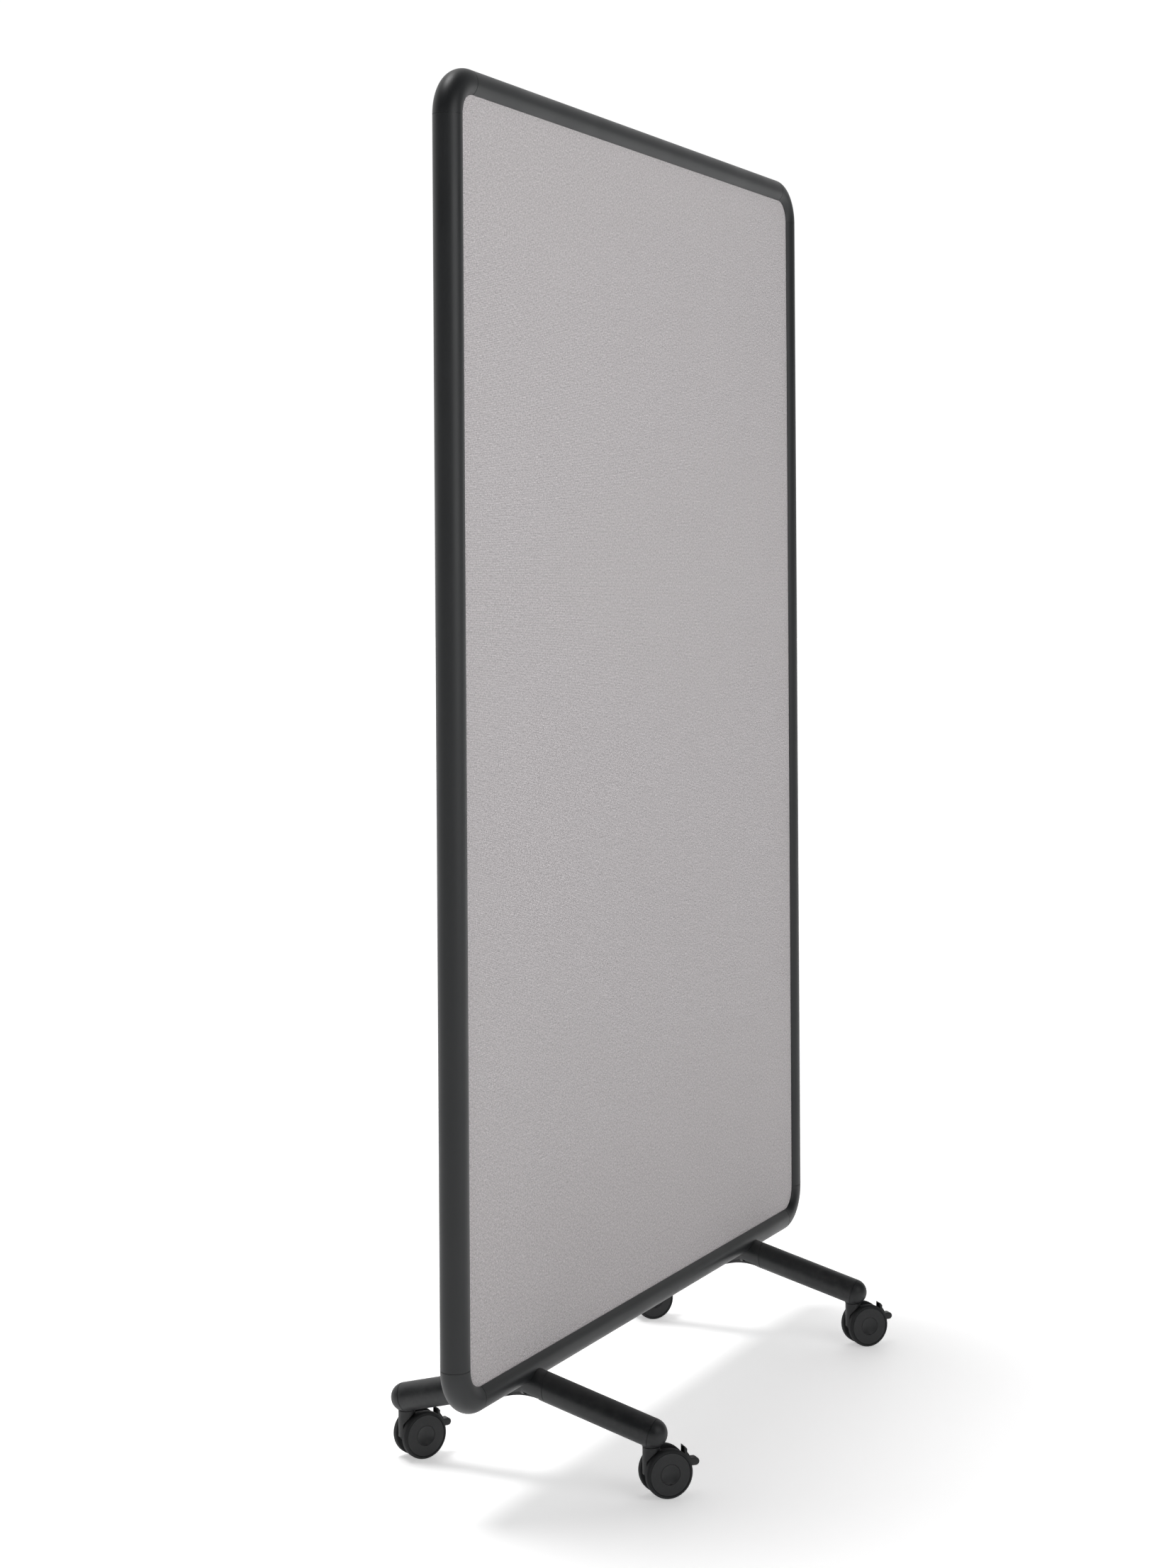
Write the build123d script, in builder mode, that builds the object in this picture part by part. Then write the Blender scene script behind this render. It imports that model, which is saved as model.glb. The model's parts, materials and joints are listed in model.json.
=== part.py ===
from build123d import *
import os
from math import cos, radians, sin

# Mobile partition wall: a fabric-covered acoustic panel held in a round-tube frame, standing on two cross
# feet with braked twin-wheel casters. Millimetres, +Z up. The origin is on the floor under the middle of
# the panel. The front face looks towards -Y, and left is -X.

# Frame tube: round section with a channel for the panel's edge, open towards the panel
TUBE_R = 22.5
TUBE_WALL = 2.0
CHANNEL_WIDTH = 27.0
CHANNEL_FLOOR = 6.0
HALF_WIDTH = 667.5
RAIL_LOW_Z = 172.5
RAIL_HIGH_Z = 2132.5
ELBOW_R = 55.0

# Fine grooves at the visible seams
SEAM_WIDTH = 0.9
SEAM_DEPTH = 0.7

# Corner castings, which plug into the tubes
ELBOW_END_WALL_DEG = 8.0
SPIGOT_LENGTH = 32.0
SPIGOT_GAP = 0.15
CORNER_SCREW_R = 2.0
CORNER_SCREW_HEAD_R = 4.0
CORNER_SCREW_HEAD_H = 2.0
CORNER_SCREW_DEPTH = 15.0
CORNER_SCREW_INSET = 18.0
SCREW_HOLE_GAP = 0.15

# Panel: insets are measured inwards from the tube's centreline
PANEL_INSET = 9.0
PANEL_HALF_T = 12.5
PANEL_EDGE_R = 4.0
FABRIC_T = 1.0
PADDING_T = 3.4
BOARD_HALF_T = 7.9
BATTEN_WIDTH = 50.0
LAYER_GAP = 0.1
SEAM_HALF_GAP = 0.15
SEAL_T = 0.8
SEAL_DEPTH = 4.0
BLOCK_LENGTH = 40.0
BLOCK_WIDTH = 20.0
BLOCK_T = 2.6
BLOCK_RAIL_X = 330.0
BLOCK_POST_Z = (640.0, 1665.0)

# Feet: a saddle bracket under the bottom rail, with an arm sloping down from it to the front and the back
FOOT_X = 441.0
ARM_Z = 154.2
ARM_TILT = radians(14.7)
ARM_BORE_R = TUBE_R - TUBE_WALL
BRACKET_HALF_Y = 37.8
CAP_DISTANCE = 223.3
PLUG_R = ARM_BORE_R - 0.2
PLUG_LENGTH = 45.0
POCKET_INNER = 2.5
POCKET_OUTER_X = 16.5
POCKET_OUTER_Y = 29.0
POCKET_TOP_Z = 146.0
ARCH_TOP_Z = 127.5
ARCH_END_Z = 123.4
SADDLE_GAP = 0.05
BOLT_X = 9.5
BOLT_Y = 12.0
BOLT_R = 3.0
BOLT_HEAD_R = 5.0
BOLT_HEAD_H = 3.3
BOLT_LENGTH = 20.0
BOLT_HOLE_R = 3.3
NUT_BAR = (60.0, 32.0, 6.0)
NUT_BAR_Z = 159.9
ARM_SCREW_DISTANCE = 62.0
ARM_SCREW_R = 2.5
ARM_SCREW_SUNK = 0.4
ARM_SCREW_LENGTH = 15.0
ARM_SCREW_SOCKET_R = 1.4
ARM_SCREW_SOCKET_DEPTH = 2.0

# Casters: the swivel stem stands under the end of the arm, and the wheels trail behind it
STEM_Y = 213.0
STEM_R = 5.5
STEM_FOOT_Z = 44.5
STEM_TOP_Z = 105.5
BOSS_R = 14.2
BOSS_LOW_Z = 78.4
BOSS_NOTCH_TOP_Z = 88.0
COLLAR_R = 11.0
COLLAR_T = 1.1
NECK_R = 13.5
NECK_TOP_Z = 77.2
RUNNING_GAP = 0.06
TRAIL = 23.0
WHEEL_R = 37.5
WHEEL_FACE = 21.2
WHEEL_INNER = 9.0
HUB_R = 33.0
HUB_RIM_R = 29.5
HUB_CHAMFER = 1.0
HUB_BOSS_R = 9.0
HUB_BOSS_END = 8.6
HUB_WEB = 13.5
CAP_SEAT_R = 15.8
CAP_SEAT = 16.2
CAP_R = 15.3
CAP_FACE = 21.0
DISH_FLOOR = 17.4
AXLE_R = 4.0
AXLE_HALF = 16.0
WEB_HALF = 8.0
WEB_R = 31.5
WEB_LOW_Z = 30.0
WEB_FRONT = -10.8
NECK_FOOT_Z = 36.3
WHEEL_ARCH_R = 39.0

# Brake lever: positions are measured from the wheels' centre, backwards and upwards
LEVER_HALF = 7.8
LUG_HALF = 4.0
LUG_SLOT_HALF = 4.4
LUG_R = 5.0
PIVOT = (22.7, 10.6)
PIVOT_R = 2.0
BAND_INNER_R = 35.2
BAND_OUTER_R = 42.5
BAND_FOOT = 5.0
TAB_NEAR = 28.5
TAB_FAR = 32.8
TAB_TOP = 35.6
TAB_LIP = 1.8
PADDLE_R = 5.9
PADDLE_CENTRE = (47.5, 10.4)
PADDLE_EDGE_R = 2.2

# Each caster: name, side along X, side along Y, and the direction in which its wheels trail
CASTERS = (
    ("front_left", -1, -1, -43.8),
    ("back_left", -1, 1, -32.4),
    ("front_right", 1, -1, -43.0),
    ("back_right", 1, 1, -39.8),
)
SIDES_X = {"left": -1, "right": 1}
SIDES_Y = {"front": -1, "back": 1}
CORNERS = {"bottom": -1, "top": 1}

os.makedirs("parts", exist_ok=True)


def save(builder, name):
    """Label a finished piece and write it to its own STEP file."""
    builder.part.label = name
    export_step(builder.part, f"parts/{name}.step")


# ---------------------------------------------------------------- frame


def draw_tube_section():
    """Outer section of the frame tube, with the panel channel open towards the sketch's +X."""
    Circle(TUBE_R)
    with Locations((CHANNEL_FLOOR + TUBE_R / 2, 0)):
        Rectangle(TUBE_R, CHANNEL_WIDTH, mode=Mode.SUBTRACT)


def draw_void_section(gap):
    """Hollow of the frame tube around its channel, made smaller all round by a gap."""
    Circle(TUBE_R - TUBE_WALL - gap)
    with Locations((CHANNEL_FLOOR - TUBE_WALL - gap + TUBE_R, 0)):
        Rectangle(2 * TUBE_R, CHANNEL_WIDTH + 2 * (TUBE_WALL + gap), mode=Mode.SUBTRACT)


def draw_seam_ring():
    """Ring that cuts a fine groove into the outside of a round tube or casting."""
    Circle(TUBE_R + SEAM_DEPTH)
    Circle(TUBE_R - SEAM_DEPTH, mode=Mode.SUBTRACT)


def elbow_plane(side_x, side_z, angle):
    """Section plane of a corner, turned from its post (0) to its rail (90 degrees); +X looks inwards."""
    across = side_x * cos(radians(angle))
    up = side_z * sin(radians(angle))
    centre_z = RAIL_HIGH_Z - ELBOW_R if side_z > 0 else RAIL_LOW_Z + ELBOW_R
    centre = Vector(side_x * (HALF_WIDTH - ELBOW_R), 0, centre_z)
    radial = Vector(across, 0, up)
    tangent = Vector(-side_x * sin(radians(angle)), 0, side_z * cos(radians(angle)))
    return Plane(origin=centre + radial * ELBOW_R, x_dir=-radial, z_dir=tangent)


def screw_plane(side_x, side_z, member):
    """Seat of a corner screw on the channel floor of the post or the rail, facing the panel."""
    seam = elbow_plane(side_x, side_z, 0 if member == "post" else 90)
    along = -CORNER_SCREW_INSET if member == "post" else CORNER_SCREW_INSET
    seat = seam.origin + seam.z_dir * along + seam.x_dir * CHANNEL_FLOOR
    return Plane(origin=seat, x_dir=seam.z_dir, z_dir=seam.x_dir)


def make_frame_tube(name, plane, length, seats, bolt_xs):
    """Straight frame tube from one corner seam to the next, with its screw and bolt holes."""
    with BuildPart() as tube:
        with BuildSketch(plane):
            draw_tube_section()
        extrude(amount=length)
        with BuildSketch(plane):
            draw_void_section(0)
        extrude(amount=length, mode=Mode.SUBTRACT)
        for seat in seats:
            with BuildSketch(seat):
                Circle(CORNER_SCREW_R + SCREW_HOLE_GAP)
            extrude(amount=TUBE_WALL, both=True, mode=Mode.SUBTRACT)
        for x in bolt_xs:
            with BuildSketch(Plane.XY.offset(POCKET_TOP_Z)):
                with Locations((x, 0)):
                    with GridLocations(2 * BOLT_X, 2 * BOLT_Y, 2, 2):
                        Circle(BOLT_HOLE_R)
            extrude(amount=NUT_BAR_Z - POCKET_TOP_Z, mode=Mode.SUBTRACT)
    save(tube, name)


def make_corner(name, side_x, side_z):
    """Corner casting: a hollow elbow with a spigot plugged into the post and one into the rail."""
    start = elbow_plane(side_x, side_z, 0)
    end = elbow_plane(side_x, side_z, 90)
    hollow = elbow_plane(side_x, side_z, ELBOW_END_WALL_DEG)
    bend = Axis(start.origin + start.x_dir * ELBOW_R, (0, -side_x * side_z, 0))
    with BuildPart() as corner:
        with BuildSketch(start):
            draw_tube_section()
        revolve(axis=bend, revolution_arc=90)
        with BuildSketch(hollow):
            draw_void_section(0)
        revolve(axis=bend, revolution_arc=90 - 2 * ELBOW_END_WALL_DEG, mode=Mode.SUBTRACT)
        with BuildSketch(start):
            draw_seam_ring()
        extrude(amount=SEAM_WIDTH, mode=Mode.SUBTRACT)
        with BuildSketch(end):
            draw_seam_ring()
        extrude(amount=-SEAM_WIDTH, mode=Mode.SUBTRACT)
        with BuildSketch(start):
            draw_void_section(SPIGOT_GAP)
        extrude(amount=-SPIGOT_LENGTH)
        with BuildSketch(end):
            draw_void_section(SPIGOT_GAP)
        extrude(amount=SPIGOT_LENGTH)
        for member in ("post", "rail"):
            with BuildSketch(screw_plane(side_x, side_z, member)):
                Circle(CORNER_SCREW_R)
            extrude(amount=-CORNER_SCREW_DEPTH, mode=Mode.SUBTRACT)
    save(corner, name)


for side, side_x in SIDES_X.items():
    seats = [screw_plane(side_x, side_z, "post") for side_z in CORNERS.values()]
    make_frame_tube(
        f"{side}_post",
        elbow_plane(side_x, -1, 0).offset(2 * ELBOW_R + RAIL_LOW_Z - RAIL_HIGH_Z),
        RAIL_HIGH_Z - RAIL_LOW_Z - 2 * ELBOW_R,
        seats,
        (),
    )
for level, side_z in CORNERS.items():
    seats = [screw_plane(side_x, side_z, "rail") for side_x in SIDES_X.values()]
    bolt_xs = (-FOOT_X, FOOT_X) if level == "bottom" else ()
    make_frame_tube(
        f"{level}_rail", elbow_plane(-1, side_z, 90), 2 * (HALF_WIDTH - ELBOW_R), seats, bolt_xs
    )
    for side, side_x in SIDES_X.items():
        make_corner(f"{level}_{side}_corner", side_x, side_z)

with BuildPart() as corner_screws:
    for side_z in CORNERS.values():
        for side_x in SIDES_X.values():
            for member in ("post", "rail"):
                seat = screw_plane(side_x, side_z, member)
                with BuildSketch(seat):
                    Circle(CORNER_SCREW_HEAD_R)
                extrude(amount=CORNER_SCREW_HEAD_H)
                with BuildSketch(seat):
                    Circle(CORNER_SCREW_R)
                extrude(amount=-CORNER_SCREW_DEPTH)
save(corner_screws, "corner_screws")


# ---------------------------------------------------------------- panel

PANEL_MID_Z = (RAIL_LOW_Z + RAIL_HIGH_Z) / 2
HALF_HEIGHT = (RAIL_HIGH_Z - RAIL_LOW_Z) / 2
BOARD_INSET = PANEL_INSET + FABRIC_T + 2 * LAYER_GAP
CORE_INSET = BOARD_INSET + BATTEN_WIDTH


def face_plane(side_y):
    """Plane through the middle of the wall, looking out of its front (-1) or back (1), with +Y up."""
    return Plane(origin=(0, 0, 0), x_dir=(-side_y, 0, 0), z_dir=(0, side_y, 0))


def draw_panel_outline(inset, mode=Mode.ADD):
    """Rounded outline at a distance inside the tube's centreline."""
    with Locations((0, PANEL_MID_Z)):
        RectangleRounded(
            2 * (HALF_WIDTH - inset), 2 * (HALF_HEIGHT - inset), ELBOW_R - inset, mode=mode
        )


def panel_slab(side_y, inset, low, high, edge_radius):
    """Flat layer of the panel, between two depths, with its outer edge rounded."""
    with BuildPart() as slab:
        with BuildSketch(face_plane(side_y).offset(low)):
            draw_panel_outline(inset)
        extrude(amount=high - low)
        outer_face = slab.faces().sort_by(Axis.Y)[0 if side_y < 0 else -1]
        fillet(outer_face.edges(), radius=edge_radius)
    return slab.part


for side, side_y in SIDES_Y.items():
    with BuildPart() as fabric:
        add(panel_slab(side_y, PANEL_INSET, SEAM_HALF_GAP, PANEL_HALF_T, PANEL_EDGE_R))
        add(
            panel_slab(
                side_y,
                PANEL_INSET + FABRIC_T,
                0,
                PANEL_HALF_T - FABRIC_T,
                PANEL_EDGE_R - FABRIC_T,
            ),
            mode=Mode.SUBTRACT,
        )
    save(fabric, f"{side}_fabric")
    with BuildPart() as padding:
        padding_top = PANEL_HALF_T - FABRIC_T - LAYER_GAP
        add(
            panel_slab(
                side_y, BOARD_INSET, padding_top - PADDING_T, padding_top, PANEL_EDGE_R - FABRIC_T
            )
        )
    save(padding, f"{side}_padding")
    with BuildPart() as seal:
        with BuildSketch(face_plane(side_y).offset(PANEL_HALF_T + LAYER_GAP)):
            draw_panel_outline(PANEL_INSET + PANEL_EDGE_R)
            draw_panel_outline(PANEL_INSET + PANEL_EDGE_R + SEAL_DEPTH, mode=Mode.SUBTRACT)
        extrude(amount=SEAL_T)
    save(seal, f"{side}_edge_seal")

with BuildPart() as battens:
    with BuildSketch(face_plane(-1)):
        draw_panel_outline(BOARD_INSET)
        with Locations((0, PANEL_MID_Z)):
            Rectangle(
                2 * (HALF_WIDTH - CORE_INSET), 2 * (HALF_HEIGHT - CORE_INSET), mode=Mode.SUBTRACT
            )
            with GridLocations(0, 2 * (HALF_HEIGHT - CORE_INSET), 1, 2):
                Rectangle(2 * HALF_WIDTH, 2 * LAYER_GAP, mode=Mode.SUBTRACT)
    extrude(amount=BOARD_HALF_T, both=True)
save(battens, "panel_battens")

with BuildPart() as core:
    with BuildSketch(face_plane(-1)):
        with Locations((0, PANEL_MID_Z)):
            Rectangle(
                2 * (HALF_WIDTH - CORE_INSET - LAYER_GAP), 2 * (HALF_HEIGHT - CORE_INSET - LAYER_GAP)
            )
    extrude(amount=BOARD_HALF_T, both=True)
save(core, "acoustic_core")

with BuildPart() as blocks:
    block_mid = (CHANNEL_FLOOR + PANEL_INSET) / 2
    for level_z in (RAIL_LOW_Z + block_mid, RAIL_HIGH_Z - block_mid):
        with Locations((-BLOCK_RAIL_X, 0, level_z), (BLOCK_RAIL_X, 0, level_z)):
            Box(BLOCK_LENGTH, BLOCK_WIDTH, BLOCK_T)
    for side_x in SIDES_X.values():
        x = side_x * (HALF_WIDTH - block_mid)
        with Locations((x, 0, BLOCK_POST_Z[0]), (x, 0, BLOCK_POST_Z[1])):
            Box(BLOCK_T, BLOCK_WIDTH, BLOCK_LENGTH)
save(blocks, "setting_blocks")


# ---------------------------------------------------------------- feet


def arm_plane(x, side_y, distance):
    """Plane across an arm, at a distance along its axis from the middle of the wall."""
    along = Vector(0, side_y * cos(ARM_TILT), -sin(ARM_TILT))
    return Plane(origin=Vector(x, 0, ARM_Z) + along * distance, x_dir=(1, 0, 0), z_dir=along)


def arm_screw_plane(x, side_y):
    """Underside of an arm where its fixing screw enters, looking down and square to the arm."""
    across = arm_plane(x, side_y, ARM_SCREW_DISTANCE)
    down = Vector(0, -side_y * sin(ARM_TILT), -cos(ARM_TILT))
    return Plane(origin=across.origin + down * TUBE_R, x_dir=(1, 0, 0), z_dir=down)


def upright(side_y, y):
    """Upright plane across the foot, looking away from the wall."""
    return Plane(origin=(0, side_y * y, 0), x_dir=(1, 0, 0), z_dir=(0, side_y, 0))


def make_bracket(name, x):
    """Saddle under the rail: two stubs of arm section meeting under it, hollowed from below by ribs."""
    with BuildPart() as bracket:
        with BuildSketch(arm_plane(x, 1, 0)):
            Circle(TUBE_R)
        extrude(amount=2 * BRACKET_HALF_Y, both=True)
        split(bisect_by=upright(1, 0), keep=Keep.TOP)
        split(bisect_by=upright(1, BRACKET_HALF_Y), keep=Keep.BOTTOM)
        with BuildSketch(arm_plane(x, 1, POCKET_OUTER_Y)):
            Circle(PLUG_R)
        extrude(amount=BRACKET_HALF_Y - POCKET_OUTER_Y + PLUG_LENGTH)
        with BuildSketch(arm_screw_plane(x, 1)):
            Circle(ARM_SCREW_R)
        extrude(amount=-ARM_SCREW_LENGTH, mode=Mode.SUBTRACT)
        mirror(about=Plane.XZ)
        pocket_x = POCKET_OUTER_X - POCKET_INNER
        pocket_y = POCKET_OUTER_Y - POCKET_INNER
        with BuildSketch(Plane.XY.offset(RAIL_LOW_Z / 2)):
            with Locations((x, 0)):
                with GridLocations(
                    POCKET_OUTER_X + POCKET_INNER, POCKET_OUTER_Y + POCKET_INNER, 2, 2
                ):
                    Rectangle(pocket_x, pocket_y)
        extrude(amount=POCKET_TOP_Z - RAIL_LOW_Z / 2, mode=Mode.SUBTRACT)
        with BuildSketch(Plane.YZ.offset(x)):
            with BuildLine():
                ThreePointArc(
                    (-POCKET_OUTER_Y, ARCH_END_Z), (0, ARCH_TOP_Z), (POCKET_OUTER_Y, ARCH_END_Z)
                )
                Polyline(
                    (POCKET_OUTER_Y, ARCH_END_Z),
                    (POCKET_OUTER_Y, POCKET_TOP_Z),
                    (-POCKET_OUTER_Y, POCKET_TOP_Z),
                    (-POCKET_OUTER_Y, ARCH_END_Z),
                )
            make_face()
        extrude(amount=POCKET_INNER, both=True)
        with BuildSketch(Plane.XZ):
            with Locations((x, ARM_Z)):
                Circle(TUBE_R)
                Rectangle(2 * POCKET_OUTER_X, 2 * TUBE_R, mode=Mode.INTERSECT)
        extrude(amount=POCKET_INNER, both=True)
        with BuildSketch(Plane.YZ.offset(x)):
            with Locations((0, RAIL_LOW_Z)):
                Circle(TUBE_R + SADDLE_GAP)
        extrude(amount=2 * TUBE_R, both=True, mode=Mode.SUBTRACT)
        with BuildSketch(Plane.XY.offset(POCKET_TOP_Z)):
            with Locations((x, 0)):
                with GridLocations(2 * BOLT_X, 2 * BOLT_Y, 2, 2):
                    Circle(BOLT_HOLE_R)
        extrude(amount=TUBE_R, mode=Mode.SUBTRACT)
    save(bracket, name)


def bracket_seam(x, side_y):
    """Ring of the groove where an arm meets its bracket."""
    with BuildPart() as ring:
        with BuildSketch(arm_plane(x, side_y, 0)):
            draw_seam_ring()
        extrude(amount=2 * BRACKET_HALF_Y)
        split(bisect_by=upright(side_y, BRACKET_HALF_Y), keep=Keep.TOP)
        split(bisect_by=upright(side_y, BRACKET_HALF_Y + SEAM_WIDTH), keep=Keep.BOTTOM)
    return ring.part


def make_arm(name, x, side_y):
    """Round tube from the saddle bracket's upright seam to the end cap, notched for the stem boss."""
    with BuildPart() as arm:
        with BuildSketch(arm_plane(x, side_y, 0)):
            Circle(TUBE_R)
            Circle(ARM_BORE_R, mode=Mode.SUBTRACT)
        extrude(amount=CAP_DISTANCE)
        split(bisect_by=upright(side_y, BRACKET_HALF_Y), keep=Keep.TOP)
        add(bracket_seam(x, side_y), mode=Mode.SUBTRACT)
        with BuildSketch(Plane.XY.offset(STEM_FOOT_Z)):
            with Locations((x, side_y * STEM_Y)):
                Circle(BOSS_R + SCREW_HOLE_GAP)
        extrude(amount=BOSS_NOTCH_TOP_Z - STEM_FOOT_Z, mode=Mode.SUBTRACT)
        with BuildSketch(arm_screw_plane(x, side_y)):
            Circle(ARM_SCREW_R + SCREW_HOLE_GAP)
        extrude(amount=-2 * TUBE_WALL, mode=Mode.SUBTRACT)
    save(arm, name)


for side, side_x in SIDES_X.items():
    make_bracket(f"{side}_foot_bracket", side_x * FOOT_X)
    for facing, side_y in SIDES_Y.items():
        make_arm(f"{facing}_{side}_arm", side_x * FOOT_X, side_y)

with BuildPart() as end_caps:
    for side_x in SIDES_X.values():
        for side_y in SIDES_Y.values():
            x = side_x * FOOT_X
            with Locations(arm_plane(x, side_y, CAP_DISTANCE).location):
                Sphere(TUBE_R, arc_size1=0, align=(Align.CENTER, Align.CENTER, Align.MIN))
            with BuildSketch(arm_plane(x, side_y, CAP_DISTANCE)):
                draw_seam_ring()
            extrude(amount=SEAM_WIDTH, mode=Mode.SUBTRACT)
            with BuildSketch(arm_plane(x, side_y, CAP_DISTANCE)):
                Circle(PLUG_R)
            extrude(amount=-PLUG_LENGTH)
            with BuildSketch(Plane.XY.offset(BOSS_LOW_Z)):
                with Locations((x, side_y * STEM_Y)):
                    Circle(BOSS_R + SCREW_HOLE_GAP)
            extrude(amount=STEM_FOOT_Z - BOSS_LOW_Z, mode=Mode.SUBTRACT)
            with BuildSketch(Plane.XY.offset(BOSS_LOW_Z)):
                with Locations((x, side_y * STEM_Y)):
                    Circle(BOSS_R)
            extrude(amount=BOSS_NOTCH_TOP_Z - BOSS_LOW_Z)
            with BuildSketch(Plane.XY.offset(BOSS_LOW_Z)):
                with Locations((x, side_y * STEM_Y)):
                    Circle(STEM_R)
            extrude(amount=STEM_TOP_Z - BOSS_LOW_Z, mode=Mode.SUBTRACT)
save(end_caps, "arm_end_caps")

with BuildPart() as arm_screws:
    for side_x in SIDES_X.values():
        for side_y in SIDES_Y.values():
            top = arm_screw_plane(side_x * FOOT_X, side_y).offset(-ARM_SCREW_SUNK)
            with BuildSketch(top):
                Circle(ARM_SCREW_R)
            extrude(amount=ARM_SCREW_SUNK - ARM_SCREW_LENGTH)
            with BuildSketch(top):
                RegularPolygon(ARM_SCREW_SOCKET_R, 6)
            extrude(amount=-ARM_SCREW_SOCKET_DEPTH, mode=Mode.SUBTRACT)
save(arm_screws, "arm_screws")

with BuildPart() as bracket_bolts:
    for side_x in SIDES_X.values():
        with BuildSketch(Plane.XY.offset(POCKET_TOP_Z)):
            with Locations((side_x * FOOT_X, 0)):
                with GridLocations(2 * BOLT_X, 2 * BOLT_Y, 2, 2):
                    Circle(BOLT_HEAD_R)
        extrude(amount=-BOLT_HEAD_H)
        with BuildSketch(Plane.XY.offset(POCKET_TOP_Z)):
            with Locations((side_x * FOOT_X, 0)):
                with GridLocations(2 * BOLT_X, 2 * BOLT_Y, 2, 2):
                    Circle(BOLT_R)
        extrude(amount=BOLT_LENGTH)
save(bracket_bolts, "bracket_bolts")

with BuildPart() as nut_bars:
    for side_x in SIDES_X.values():
        with Locations((side_x * FOOT_X, 0, NUT_BAR_Z + NUT_BAR[2] / 2)):
            Box(*NUT_BAR)
        with BuildSketch(Plane.XY.offset(NUT_BAR_Z)):
            with Locations((side_x * FOOT_X, 0)):
                with GridLocations(2 * BOLT_X, 2 * BOLT_Y, 2, 2):
                    Circle(BOLT_R)
        extrude(amount=NUT_BAR[2], mode=Mode.SUBTRACT)
save(nut_bars, "nut_bars")


# ---------------------------------------------------------------- casters


def from_wheel(x, z):
    """A point of the caster's side view, measured from the wheels' centre."""
    return (TRAIL + x, WHEEL_R + z)


def make_housing(name, side_view):
    """Swivel housing: a round neck over a web that carries the axle and the brake lever's pivot."""
    with BuildPart() as housing:
        with BuildSketch(Plane(side_view.origin).offset(NECK_FOOT_Z)):
            Circle(NECK_R)
        extrude(amount=NECK_TOP_Z - NECK_FOOT_Z)
        for way in (-1, 1):
            with BuildSketch(side_view.offset(way * WEB_HALF)):
                with Locations(from_wheel(0, 0)):
                    Circle(WHEEL_ARCH_R)
            extrude(amount=way * NECK_R, mode=Mode.SUBTRACT)
        with BuildSketch(side_view):
            with Locations(from_wheel(0, 0)):
                Circle(WEB_R)
            with Locations((TRAIL, WEB_LOW_Z - WEB_R)):
                Rectangle(2 * WEB_R, 2 * WEB_R, mode=Mode.SUBTRACT)
            with BuildLine():
                Polyline(
                    (WEB_FRONT, NECK_FOOT_Z),
                    (TRAIL - NECK_R, WEB_LOW_Z),
                    (TRAIL, WEB_LOW_Z),
                    (TRAIL, WHEEL_R + WEB_R),
                    (WEB_FRONT, WHEEL_R + WEB_R),
                    close=True,
                )
            make_face()
        extrude(amount=WEB_HALF, both=True)
        with BuildSketch(side_view):
            with Locations(Location(from_wheel(28 * cos(radians(25)), 28 * sin(radians(25))), 25)):
                Rectangle(22, 24)
        extrude(amount=LUG_SLOT_HALF, both=True, mode=Mode.SUBTRACT)
        with BuildSketch(side_view):
            with Locations(from_wheel(0, 0)):
                Circle(AXLE_R)
            with Locations(from_wheel(*PIVOT)):
                Circle(PIVOT_R + RUNNING_GAP)
        extrude(amount=WEB_HALF, both=True, mode=Mode.SUBTRACT)
        with BuildSketch(Plane(side_view.origin).offset(STEM_FOOT_Z)):
            Circle(STEM_R + RUNNING_GAP)
        extrude(amount=NECK_TOP_Z - STEM_FOOT_Z, mode=Mode.SUBTRACT)
    save(housing, name)


def make_stem(name, side_view):
    """Swivel stem, fixed in the arm's end, with the collar that the housing turns under."""
    with BuildPart() as stem:
        with BuildSketch(Plane(side_view.origin).offset(STEM_FOOT_Z + RUNNING_GAP)):
            Circle(STEM_R)
        extrude(amount=STEM_TOP_Z - STEM_FOOT_Z - RUNNING_GAP)
        with BuildSketch(Plane(side_view.origin).offset(BOSS_LOW_Z - COLLAR_T)):
            Circle(COLLAR_R)
        extrude(amount=COLLAR_T)
    save(stem, name)


def make_axle(name, side_view):
    """Plain axle pressed through the housing's web."""
    with BuildPart() as axle:
        with BuildSketch(side_view):
            with Locations(from_wheel(0, 0)):
                Circle(AXLE_R)
        extrude(amount=AXLE_HALF, both=True)
    save(axle, name)


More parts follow.
